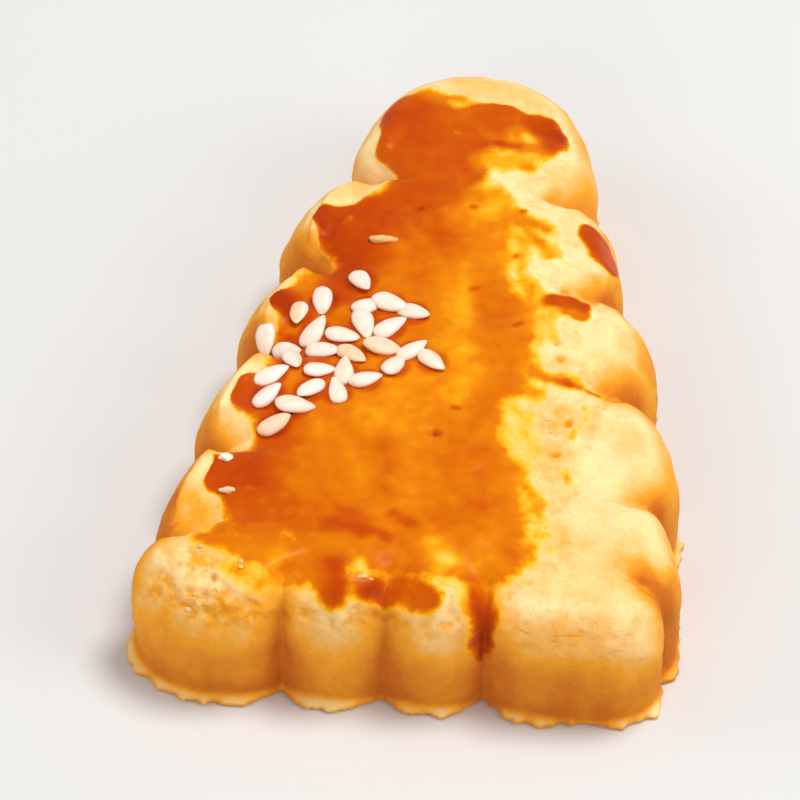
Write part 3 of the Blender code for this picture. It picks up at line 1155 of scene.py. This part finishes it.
@dataclass
class DoughBody:
    """The dough with its egg wash, as one closed piece."""

    line: CutterLine
    form: DoughForm
    wash: EggWash
    finish: BakedDough = BakedDough()
    voxel: float = 0.265
    flat_below: float = 0.02
    film: float = 0.1
    film_edge: tuple[float, float] = (-0.3, 0.4)
    bead: float = 0.8
    bead_reach: tuple[float, float] = (0.3, 1.6)
    lumps: tuple[Swell, ...] = (Swell(5.0, 0.16), Swell(2.4, 0.09))
    crumble: tuple[Swell, ...] = (Swell(1.5, 0.2), Swell(0.85, 0.16))
    least_crumble: float = 0.22
    most_crumble: float = 1.3
    least_coarse: float = 0.06
    relief_start: tuple[float, float] = (0.4, 1.6)
    top_start: tuple[float, float] = (9.0, 10.0)
    pits: tuple[Pit, ...] = (
        Pit(10.9, 39.1, 0.5),
        Pit(10.6, 32.0, 0.45),
        Pit(11.2, 30.2, 0.4),
        Pit(12.7, 22.4, 0.4),
        Pit(12.0, 18.6, 0.35),
        Pit(11.2, 12.2, 0.4),
        Pit(-13.0, -2.4, 0.5),
        Pit(-16.4, 0.6, 0.4),
        Pit(0.9, 19.2, 0.4),
    )
    pit_depth: float = 0.5
    pit_edge: tuple[float, float] = (1.3, 0.5)
    # The reach of the painted shadow round each seed.
    seed_shadow_reach: tuple[float, float] = (1.8, 1.15)
    tone_by_lumps: float = 0.2
    tone_by_crumble: float = 0.25
    # How much the painted shadow round the seeds darkens the wash.
    tone_by_seed_shadow: float = 0.24
    browning: BrowningAndPaintedLight = BrowningAndPaintedLight()
    bare_rim: float = 2.5
    rim_reach: tuple[float, float] = (3.4, 2.4)
    # Among these, the darker spots on the wall by the left corner at -20.6, 8.8 and -21.0, 12.2 are
    # painted shade, the paler spots on the right walls at 20.6, 29.6 and 21.8, 16.0 are painted
    # light, and the paler spot at the knob's lower left at -8.0, 55.0 is a painted highlight.
    browned: tuple[BrowningAndLightSpot, ...] = (
        BrowningAndLightSpot(-20.6, 8.8, 4.0, 0.36),
        BrowningAndLightSpot(-21.0, 12.2, 3.8, 0.28),
        BrowningAndLightSpot(18.0, 34.0, 3.0, 0.26),
        BrowningAndLightSpot(20.6, 29.6, 3.6, -0.24),
        BrowningAndLightSpot(21.8, 16.0, 5.0, -0.22),
        BrowningAndLightSpot(21.8, 0.5, 5.0, -0.14),
        BrowningAndLightSpot(19.8, 8.4, 3.0, 0.13),
        BrowningAndLightSpot(21.8, 6.4, 2.8, 0.1),
        BrowningAndLightSpot(18.7, 21.2, 2.8, 0.13),
        BrowningAndLightSpot(-17.3, 8.7, 2.8, 0.18),
        BrowningAndLightSpot(-10.6, 50.2, 3.0, 0.15),
        BrowningAndLightSpot(-16.6, 4.6, 4.0, 0.14),
        BrowningAndLightSpot(-17.5, 1.5, 6.5, 0.13),
        BrowningAndLightSpot(16.0, 3.0, 9.0, 0.12),
        BrowningAndLightSpot(13.0, 42.5, 4.0, -0.12),
        BrowningAndLightSpot(16.6, 17.0, 4.0, -0.12),
        BrowningAndLightSpot(-8.0, 55.0, 4.2, -0.38),
        BrowningAndLightSpot(11.9, 8.6, 3.4, 0.17),
        BrowningAndLightSpot(11.4, 17.5, 3.4, 0.17),
        BrowningAndLightSpot(11.6, 13.0, 2.6, 0.1),
        BrowningAndLightSpot(11.2, 4.4, 2.8, 0.12),
        BrowningAndLightSpot(14.7, -1.3, 2.4, 0.08),
        BrowningAndLightSpot(0.0, -1.5, 4.0, 0.08),
        BrowningAndLightSpot(7.0, 52.6, 3.0, 0.05),
        BrowningAndLightSpot(11.5, 28.5, 3.0, 0.16),
        BrowningAndLightSpot(10.5, 23.0, 3.4, 0.2),
        BrowningAndLightSpot(13.4, 23.0, 3.0, 0.15),
    )
    piece: bpy.types.Object = field(init=False)

    def rolled(self) -> bpy.types.Object:
        """Rolls the dough's sheet round the cookie and closes both its ends.

        Returns:
            The closed shape, in millimetres.
        """
        laid = self.form.sheet(self.line)
        rows, columns = laid.shape[:2]
        bm = bmesh.new()
        bmesh.ops.create_grid(bm, x_segments=columns, y_segments=rows - 1, size=0.5)
        for vertex in bm.verts:
            column = round((vertex.co.x + 0.5) * columns) % columns
            vertex.co = laid[round((vertex.co.y + 0.5) * (rows - 1)), column]
        bmesh.ops.remove_doubles(bm, verts=bm.verts, dist=0.0005)
        rims = [edge for edge in bm.edges if edge.is_boundary]
        caps = bmesh.ops.holes_fill(bm, edges=rims, sides=0)["faces"]
        bmesh.ops.triangulate(bm, faces=caps, ngon_method="BEAUTY")
        bmesh.ops.recalc_face_normals(bm, faces=bm.faces)
        mesh = bpy.data.meshes.new("dough_sheet")
        bm.to_mesh(mesh)
        bm.free()
        sheet = bpy.data.objects.new("dough_sheet", mesh)
        bpy.context.scene.collection.objects.link(sheet)
        return sheet

    def evened(self, sheet: bpy.types.Object) -> bmesh.types.BMesh:
        """Gives the dough faces of one size.

        Args:
            sheet: The rolled sheet, which is removed.

        Returns:
            The same shape in even faces.
        """
        remesh = sheet.modifiers.new("even_faces", "REMESH")
        remesh.mode = "VOXEL"
        remesh.voxel_size = self.voxel
        graph = bpy.context.evaluated_depsgraph_get()
        even = bpy.data.meshes.new_from_object(sheet.evaluated_get(graph))
        bm = bmesh.new()
        bm.from_mesh(even)
        bpy.data.objects.remove(sheet)
        axes = {"use_axis_x": True, "use_axis_y": True, "use_axis_z": True}
        bmesh.ops.smooth_vert(bm, verts=bm.verts, factor=0.5, **axes)
        flat = [face for face in bm.faces if max(v.co.z for v in face.verts) < self.flat_below]
        bmesh.ops.delete(bm, geom=flat, context="FACES")
        rims = [edge for edge in bm.edges if edge.is_boundary]
        base = bmesh.ops.holes_fill(bm, edges=rims, sides=0)["faces"]
        bmesh.ops.triangulate(bm, faces=base, ngon_method="BEAUTY")
        bmesh.ops.recalc_face_normals(bm, faces=bm.faces)
        return bm

    def beside(self, places: np.ndarray) -> tuple[np.ndarray, np.ndarray]:
        """Finds the cutter's line beside each place.

        Args:
            places: The places, one row of x, y and z each.

        Returns:
            The number of the nearest station, and the distance to it, for each place.
        """
        tree = plan_tree(self.line.points - self.line.outward * self.line.inset[:, None])
        found = [tree.find((x, y, 0.0)) for x, y in places[:, :2].tolist()]
        return np.array([k for _, k, _ in found]), np.array([reach for _, _, reach in found])

    def rim(self, nearest: np.ndarray, away: np.ndarray) -> np.ndarray:
        """How far each place lies on the raised rim of a crisp lobe, which the brush misses.

        Args:
            nearest: The nearest station of the cutter's line.
            away: The distance to it.

        Returns:
            The share, from 0 to 1.
        """
        lobe = self.line.crisp[nearest] ** 2 * (1 - self.line.grooved[nearest])
        return lobe * smooth_step(*self.rim_reach, away)

    def sunk(self, places: np.ndarray) -> np.ndarray:
        """How deep in a burst bubble each place lies.

        Args:
            places: The places, one row of x, y and z each.

        Returns:
            The share of a bubble's full depth, from 0 to 1.
        """
        share = np.zeros(len(places))
        outer, inner = self.pit_edge
        for pit in self.pits:
            away = np.hypot(places[:, 0] - pit.x, places[:, 1] - pit.y)
            bowl = smooth_step(outer * pit.radius, inner * pit.radius, away)
            share = np.maximum(share, bowl)
        return share * smooth_step(*self.top_start, places[:, 2])

    def coarse(self, places: np.ndarray, reach: np.ndarray) -> np.ndarray:
        """How coarse and crumbly the bare dough is.

        Args:
            places: The places, one row of x, y and z each.
            reach: How far inside the wash each place lies.

        Returns:
            The share of coarse crumb, from 0 to 1.
        """
        x, y, z = places.T
        corner = smooth_step(7.5, 3.5, np.hypot(x + 15.5, y - 1.5))
        short_side = (0.75 - 0.4 * smooth_step(7.0, 10.0, x)) * smooth_step(3.5, 0.5, y)
        beside_wash = 0.45 * smooth_step(-3.0, -0.5, reach) * smooth_step(2.0, 8.0, x)
        share = np.maximum(np.maximum(corner, short_side), beside_wash)
        share = share * smooth_step(8.5, 11.5, z)
        bare = 1 - smooth_step(-0.3, 0.5, reach)
        return (self.least_coarse + (1 - self.least_coarse) * share) * bare

    def build(self, seeds: np.ndarray) -> None:
        """Builds the dough, gives it its relief, and paints what its finish reads.

        Args:
            seeds: The places of the seeds that lie on it, one row of x and y each.
        """
        bm = self.evened(self.rolled())
        places = np.array([vertex.co[:] for vertex in bm.verts])
        normals = np.array([vertex.normal[:] for vertex in bm.verts])
        brushed = self.wash.wandered(places)
        nearest, away = self.beside(places)
        reach = self.wash.reach(brushed) - self.bare_rim * self.rim(nearest, away)
        coarse = self.coarse(places, reach)
        sunk = self.sunk(places)

        lumps = sum(swell.height * grain(places, swell.wave, 5.1) for swell in self.lumps)
        crumble = sum(swell.height * grain(places, swell.wave, 8.7) for swell in self.crumble)
        film = 1.0 + self.bead * (1 - smooth_step(*self.bead_reach, reach))
        film = smooth_step(*self.film_edge, reach) * film
        relief = lumps + crumble * (self.least_crumble + self.most_crumble * coarse)
        relief = relief + self.film * film
        relief = relief * smooth_step(*self.relief_start, places[:, 2]) - self.pit_depth * sunk
        places = places + normals * relief[:, None]
        for vertex, place in zip(bm.verts, places.tolist()):
            vertex.co = place

        self.piece = finish_mesh(bm, "baked_dough")
        tone = self.wash.tone(brushed) - self.tone_by_lumps * lumps
        tone = tone - self.tone_by_crumble * crumble
        # The wash is darkened in a ring round each seed: painted shadow under the seeds.
        tone = tone + self.tone_by_seed_shadow * self.seed_shadow(places, seeds)
        bake_and_shade = self.bake_and_shade(places, normals, nearest, away)
        crumbly = coarse * (self.browning.crumb + self.browning.crumb_relief * crumble)
        # The burst bubbles are darkened here as painted shade.
        bake_and_shade = bake_and_shade + crumbly + self.browning.pit * sunk
        paint(self.piece, "wash", reach)
        paint(self.piece, "tone", np.clip(tone, 0.0, 1.0))
        paint(self.piece, "softness", self.wash.softness(brushed))
        paint(self.piece, "bake_and_shade", np.clip(bake_and_shade, 0.0, 1.0))
        paint(self.piece, "coarse", coarse)
        paint(self.piece, "cracked", self.cracked(places, reach))
        self.finish.dress(self.piece)

    def cracked(self, places: np.ndarray, reach: np.ndarray) -> np.ndarray:
        """How far hairline cracks show, on the right corner's side that faces the front.

        Args:
            places: The places, one row of x, y and z each.
            reach: How far inside the wash each place lies.

        Returns:
            The share of cracks, from 0 to 1.
        """
        x, y, z = places.T
        band = smooth_step(6.0, 8.0, z) * (1 - smooth_step(11.0, 12.3, z))
        band *= 0.6 * smooth_step(2.0, -1.0, y) * smooth_step(8.0, 11.0, x)
        return band * smooth_step(0.3, -0.3, reach)

    def bake_and_shade(self, places: np.ndarray, normals: np.ndarray, nearest: np.ndarray,
             away: np.ndarray) -> np.ndarray:
        """How dark the bare dough is: its browning, with painted shade and a painted highlight laid
        in.

        Args:
            places: The places, one row of x, y and z each.
            normals: The way the surface faces at each.
            nearest: The nearest station of the cutter's line.
            away: The distance to it.

        Returns:
            The browning with painted shade and highlight, with 0 for the palest dough, 0.5 for
            golden and 1 for toasted.
        """
        x, y, z = places.T
        part, line = self.browning, self.line
        lobe, crisp = 1 - line.grooved[nearest], line.crisp[nearest]
        tip = smooth_step(47.0, 50.0, y)
        # Darker in the grooves and on each lobe's flank toward the next groove: browning and painted
        # shade.
        groove = line.grooved[nearest] * smooth_step(3.8, 0.3, away) * (1 - 0.75 * tip)
        flank = line.flank[nearest] * smooth_step(6.5, 2.0, away) * (1 - tip)
        flank *= smooth_step(3.0, 6.0, y)
        # Paler along the crests of the lobes' rims: painted highlight.
        crest_highlight = (0.4 + 0.6 * crisp) * lobe * np.exp(-(((away - 2.5) / 0.6) ** 2))

        steep = 1 - smooth_step(0.35, 0.92, np.clip(normals[:, 2], 0.0, 1.0))
        ragged = z + 0.7 * grain(places, 1.8, 3.3)
        crust = smooth_step(5.4, 11.2, ragged) * smooth_step(3.5, 0.5, y)
        foot = 1 - smooth_step(0.5, 9.5, z)
        out = np.sum((places[:, :2] - line.points[nearest]) * line.outward[nearest], axis=1)
        torn_edge = smooth_step(1.1, 0.5, z) * smooth_step(-2.0, -1.1, out + line.inset[nearest])
        # Darker on the slopes that face left: painted shade.
        shaded_left_side = smooth_step(0.05, 0.5, -normals[:, 0]) * (1 - tip)
        # Darker on the right corner's side that faces the front: painted shade.
        right_front = smooth_step(5.0, 12.0, x) * smooth_step(0.2, 0.8, -normals[:, 1])

        bake_and_shade = part.least + part.side * steep * (1 - 0.6 * crust)
        bake_and_shade += part.foot * foot
        bake_and_shade += part.torn_edge * torn_edge
        shade = part.mottling * grain(places, 7.0, 2.7) + part.groove * groove
        shade += part.flank * flank
        shade += part.shaded_left_side * shaded_left_side
        shade += part.tip_end * smooth_step(60.0, 66.0, y) + part.crest_highlight * crest_highlight
        shade += part.right_front * right_front * (1 - crust)
        for spot in self.browned:
            aside = np.hypot(x - spot.x, y - spot.y)
            shade += spot.browning * smooth_step(spot.reach, 0.3 * spot.reach, aside)
        return bake_and_shade + shade * smooth_step(0.02, 0.4, z)

    def seed_shadow(self, places: np.ndarray, seeds: np.ndarray) -> np.ndarray:
        """How far the wash is darkened round the seeds, as painted shadow under them.

        Args:
            places: The places, one row of x, y and z each.
            seeds: The places of the seeds, one row of x and y each.

        Returns:
            The share of painted shadow at each place, from 0 to 1.
        """
        tree = plan_tree(seeds)
        away = np.array([tree.find((x, y, 0.0))[2] for x, y in places[:, :2].tolist()])
        return smooth_step(*self.seed_shadow_reach, away) * smooth_step(*self.top_start, places[:, 2])


@dataclass(frozen=True)
class SeedSpot:
    """A seed that fell in a gap of the pinch: its place, and the way its point faces."""

    x: float
    y: float
    heading: float


@dataclass
class SesameSeeds:
    """The pinch of sesame seeds, as one piece."""

    form: DoughForm
    finish: HulledSesame = HulledSesame()
    count: int = 24
    length: float = 3.4
    width: float = 1.78
    height: float = 0.9
    taper: float = 0.28
    lift: float = 0.24
    spread: float = 0.12
    tilt: float = math.radians(14)
    sides: int = 14
    rings: int = 12
    unevenness: float = 0.12
    most_toast: float = 0.35
    glazed_toast: float = 0.6
    tip_toast: float = 0.35
    patch_middle: tuple[float, float] = (-9.2, 29.0)
    patch_half_size: tuple[float, float] = (9.9, 6.6)
    patch_turn: float = math.radians(54)
    clearance: float = 1.95
    stray_share: float = 0.1
    glazed_share: float = 0.14
    stray_reach: float = 1.35
    draw: int = 753583
    fallen: tuple[SeedSpot, ...] = (
        SeedSpot(-8.6, 30.6, math.radians(345)),
        SeedSpot(-7.5, 28.1, math.radians(325)),
        SeedSpot(-7.9, 25.9, math.radians(95)),
        SeedSpot(-0.2, 27.8, math.radians(315)),
        SeedSpot(-13.4, 19.3, math.radians(35)),
    )
    piece: bpy.types.Object = field(init=False)

    def places(self) -> list[tuple[float, float, float, float, float]]:
        """Draws the seeds' places on a slanting patch, then adds those that fell in its gaps.

        Returns:
            For each seed, its x and y, heading, size and tilt.
        """
        draw = random.Random(self.draw)
        cosine, sine = math.cos(self.patch_turn), math.sin(self.patch_turn)
        found: list[tuple[float, float, float, float, float]] = []
        while len(found) < self.count:
            stray = self.stray_reach if draw.random() < self.stray_share else 1.0
            reach = stray * math.sqrt(draw.random())
            turn = draw.uniform(0.0, math.tau)
            along = math.cos(turn) * self.patch_half_size[0] * reach
            across = math.sin(turn) * self.patch_half_size[1] * reach
            x = self.patch_middle[0] + along * cosine - across * sine
            y = self.patch_middle[1] + along * sine + across * cosine
            heading = draw.uniform(0.0, math.tau)
            size = 1.0 + draw.uniform(-self.spread, self.spread)
            tilt = draw.uniform(-self.tilt, self.tilt)
            if all(math.hypot(x - other[0], y - other[1]) > self.clearance for other in found):
                found.append((x, y, heading, size, tilt))
        return found + [(spot.x, spot.y, spot.heading, 1.0, 0.0) for spot in self.fallen]

    def build(self, dough: bpy.types.Object) -> None:
        """Builds the seeds and presses them into the dough.

        The mesh keeps its vertices in another order than the seeds are made in, so the values of
        toast and tip mingle from seed to seed, and no seed is browned at its tip alone.

        Args:
            dough: The dough they lie on.
        """
        surface = BVHTree.FromObject(dough, bpy.context.evaluated_depsgraph_get())
        draw = random.Random(self.draw + 1)
        bm = bmesh.new()
        lying = Matrix.Rotation(math.pi / 2, 3, "Y")
        toasts: list[float] = []
        tips: list[float] = []
        for x, y, heading, size, tilt in self.places():
            seed = bmesh.ops.create_uvsphere(
                bm, u_segments=self.sides, v_segments=self.rings, radius=1.0
            )["verts"]
            bmesh.ops.rotate(bm, verts=seed, cent=(0, 0, 0), matrix=lying)
            toast = draw.uniform(0.0, self.most_toast)
            toast += self.glazed_toast * (draw.random() < self.glazed_share)
            for vertex in seed:
                pointed = max(0.0, vertex.co.x)
                taper = (1.0 - self.taper * vertex.co.x) * (1.0 - 0.2 * pointed**2)
                toasts.append(toast)
                tips.append(self.tip_toast * pointed**4)
                lump = noise.noise(1.3 * vertex.co + Vector((x, y, 0.0)))
                vertex.co *= 1.0 + self.unevenness * lump
                vertex.co.x *= self.length / 2
                vertex.co.y *= self.width / 2 * taper
                vertex.co.z *= self.height / 2 * taper
            bed = self.bed(surface, x, y, heading, tilt)
            bmesh.ops.transform(bm, verts=seed, matrix=bed @ Matrix.Scale(size, 4))
        self.piece = finish_mesh(bm, "sesame_seeds")
        paint(self.piece, "toast", np.array(toasts))
        paint(self.piece, "tip", np.array(tips))
        self.finish.dress(self.piece)

    def bed(self, surface: BVHTree, x: float, y: float, heading: float, tilt: float) -> Matrix:
        """Works out how one seed lies, pressed into the dough in line with the surface there.

        Args:
            surface: The dough's surface, in metres.
            x: The seed's place across the cookie.
            y: The seed's place along the cookie.
            heading: The way its point faces.
            tilt: How far its point is lifted.

        Returns:
            The seed's place and turn.
        """
        point, normal = top_at(surface, x, y, 2 * self.form.thickness)
        lean = Vector((0, 0, 1)).rotation_difference(normal).to_matrix().to_4x4()
        turn = Matrix.Rotation(heading, 4, "Z") @ Matrix.Rotation(tilt, 4, "Y")
        return Matrix.Translation(point + normal * self.height * self.lift) @ lean @ turn


@dataclass(frozen=True)
class CrumbSpot:
    """A place where crumbs lie: its middle, reach and count, and their size and stretch."""

    x: float
    y: float
    reach: float
    count: int
    size: float = 0.28
    stretch: float = 1.0
    browned: float = 0.3


@dataclass
class Crumbs:
    """The few crumbs on the top, as one piece."""

    form: DoughForm
    finish: LooseCrumb = LooseCrumb()
    spots: tuple[CrumbSpot, ...] = (
        CrumbSpot(-17.2, 14.8, 0.1, 1, 0.5, 1.2, 0.0),
        CrumbSpot(-6.4, 43.2, 0.1, 1, 0.5, 2.0, 0.9),
        CrumbSpot(-16.6, 10.9, 0.1, 1, 0.38, 1.4, 0.6),
        CrumbSpot(12.5, 21.0, 2.5, 3, 0.22, 1.0, 0.75),
        CrumbSpot(-16.5, 1.5, 2.6, 4, 0.26, 1.0, 0.8),
        CrumbSpot(-3.0, 2.2, 0.8, 3, 0.22, 1.3, 0.7),
    )
    spread: float = 0.3
    unevenness: float = 0.45
    narrowing: tuple[float, float] = (0.6, 0.9)
    flatness: float = 0.7
    lift: float = 0.3
    draw: int = 5
    piece: bpy.types.Object = field(init=False)

    def build(self, dough: bpy.types.Object) -> None:
        """Builds the crumbs and sets them on the dough.

        Args:
            dough: The dough they lie on.
        """
        surface = BVHTree.FromObject(dough, bpy.context.evaluated_depsgraph_get())
        draw = random.Random(self.draw)
        bm = bmesh.new()
        browned: list[float] = []
        for spot in self.spots:
            for _ in range(spot.count):
                size = spot.size * (1.0 + draw.uniform(-self.spread, self.spread))
                x = spot.x + draw.uniform(-spot.reach, spot.reach)
                y = spot.y + draw.uniform(-spot.reach, spot.reach)
                point, _ = top_at(surface, x, y, 2 * self.form.thickness)
                crumb = bmesh.ops.create_icosphere(bm, subdivisions=3, radius=size)["verts"]
                for vertex in crumb:
                    lump = noise.noise(vertex.co / size + Vector((x, y, 0.0)))
                    vertex.co *= 1.0 + self.unevenness * lump
                across = draw.uniform(*self.narrowing)
                bmesh.ops.scale(bm, verts=crumb, vec=(spot.stretch, across, self.flatness))
                bmesh.ops.translate(bm, verts=crumb, vec=point + Vector((0, 0, self.lift * size)))
                browned += [spot.browned] * len(crumb)
        self.piece = finish_mesh(bm, "crumbs")
        paint(self.piece, "browned", np.array(browned))
        self.finish.dress(self.piece)


# ---------------------------------------------------------------- the studio


@dataclass(frozen=True)
class Softbox:
    """One soft light: its name, place, size in metres, power in watts and colour."""

    name: str
    place: tuple[float, float, float]
    size: float
    power: float
    colour: tuple[float, float, float] = (1.0, 1.0, 1.0)

    def hang(self) -> None:
        """Hangs the light, facing the cookie."""
        light = bpy.data.lights.new(self.name, "AREA")
        light.shape = "DISK"
        light.size = self.size
        light.energy = self.power
        light.color = self.colour
        hung = bpy.data.objects.new(self.name, light)
        hung.location = self.place
        hung.rotation_euler = (-Vector(self.place)).to_track_quat("-Z", "Y").to_euler()
        bpy.context.scene.collection.objects.link(hung)


@dataclass(frozen=True)
class Studio:
    """The pale floor, the soft lights and the camera."""

    floor_finish: PaleFloor = PaleFloor()
    floor_size: float = 1.5
    lights: tuple[Softbox, ...] = (
        Softbox("overhead_softbox", (0.18, 0.10, 0.62), 0.24, 2.7),
        Softbox("right_softbox", (0.6, -0.15, 0.42), 0.4, 1.3),
        Softbox("front_softbox", (-0.25, -0.7, 0.36), 0.5, 1.2),
        Softbox("left_softbox", (-0.62, 0.0, 0.34), 0.4, 0.9),
    )
    sky: tuple[float, float, float] = (1.0, 0.98, 0.95)
    sky_strength: float = 0.36
    camera_place: tuple[float, float, float] = (0.0413, -0.3974, 0.4259)
    camera_target: tuple[float, float, float] = (-0.0032, -0.0045, 0.0075)
    camera_lens: float = 285.0

    def build(self) -> None:
        """Builds the studio."""
        bm = bmesh.new()
        bmesh.ops.create_grid(bm, x_segments=8, y_segments=8, size=self.floor_size)
        mesh = bpy.data.meshes.new("floor")
        bm.to_mesh(mesh)
        bm.free()
        floor = bpy.data.objects.new("floor", mesh)
        bpy.context.scene.collection.objects.link(floor)
        self.floor_finish.dress(floor)
        for light in self.lights:
            light.hang()
        self.light_sky()
        self.place_camera()

    def light_sky(self) -> None:
        """Sets the even light that fills the shadows."""
        world = bpy.data.worlds.new("studio_sky")
        world.use_nodes = True
        background = world.node_tree.nodes["Background"]
        background.inputs["Color"].default_value = (*self.sky, 1.0)
        background.inputs["Strength"].default_value = self.sky_strength
        bpy.context.scene.world = world
        bpy.context.scene.view_settings.view_transform = "Standard"

    def place_camera(self) -> None:
        """Places the camera in front of the short side, looking down at the cookie."""
        camera = bpy.data.cameras.new("camera")
        camera.lens = self.camera_lens
        camera.clip_start = 0.01
        held = bpy.data.objects.new("camera", camera)
        held.location = self.camera_place
        look = Vector(self.camera_target) - Vector(self.camera_place)
        held.rotation_euler = look.to_track_quat("-Z", "Y").to_euler()
        bpy.context.scene.collection.objects.link(held)
        bpy.context.scene.camera = held


def hand_over(piece: bpy.types.Object, replaces: bool) -> None:
    """Ties a finished piece to the frame and reports it.

    Args:
        piece: The piece.
        replaces: Whether it stands for the frame's own cookie.
    """
    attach(piece, BODY)
    if replaces:
        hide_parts(NODE)
    triangles = sum(len(face.vertices) - 2 for face in piece.data.polygons)
    log.info("%s: %d triangles", piece.name, triangles)


def main() -> None:
    """Builds the cookie's pieces in order, and then the studio."""
    logging.basicConfig(level=logging.INFO, format="%(message)s")
    form = DoughForm()
    dough = DoughBody(CutterLine(), form, EggWash())
    seeds = SesameSeeds(form)
    dough.build(np.array([place[:2] for place in seeds.places()]))
    hand_over(dough.piece, True)
    seeds.build(dough.piece)
    hand_over(seeds.piece, True)
    crumbs = Crumbs(form)
    crumbs.build(dough.piece)
    hand_over(crumbs.piece, False)
    Studio().build()


if __name__ == "__main__":
    main()
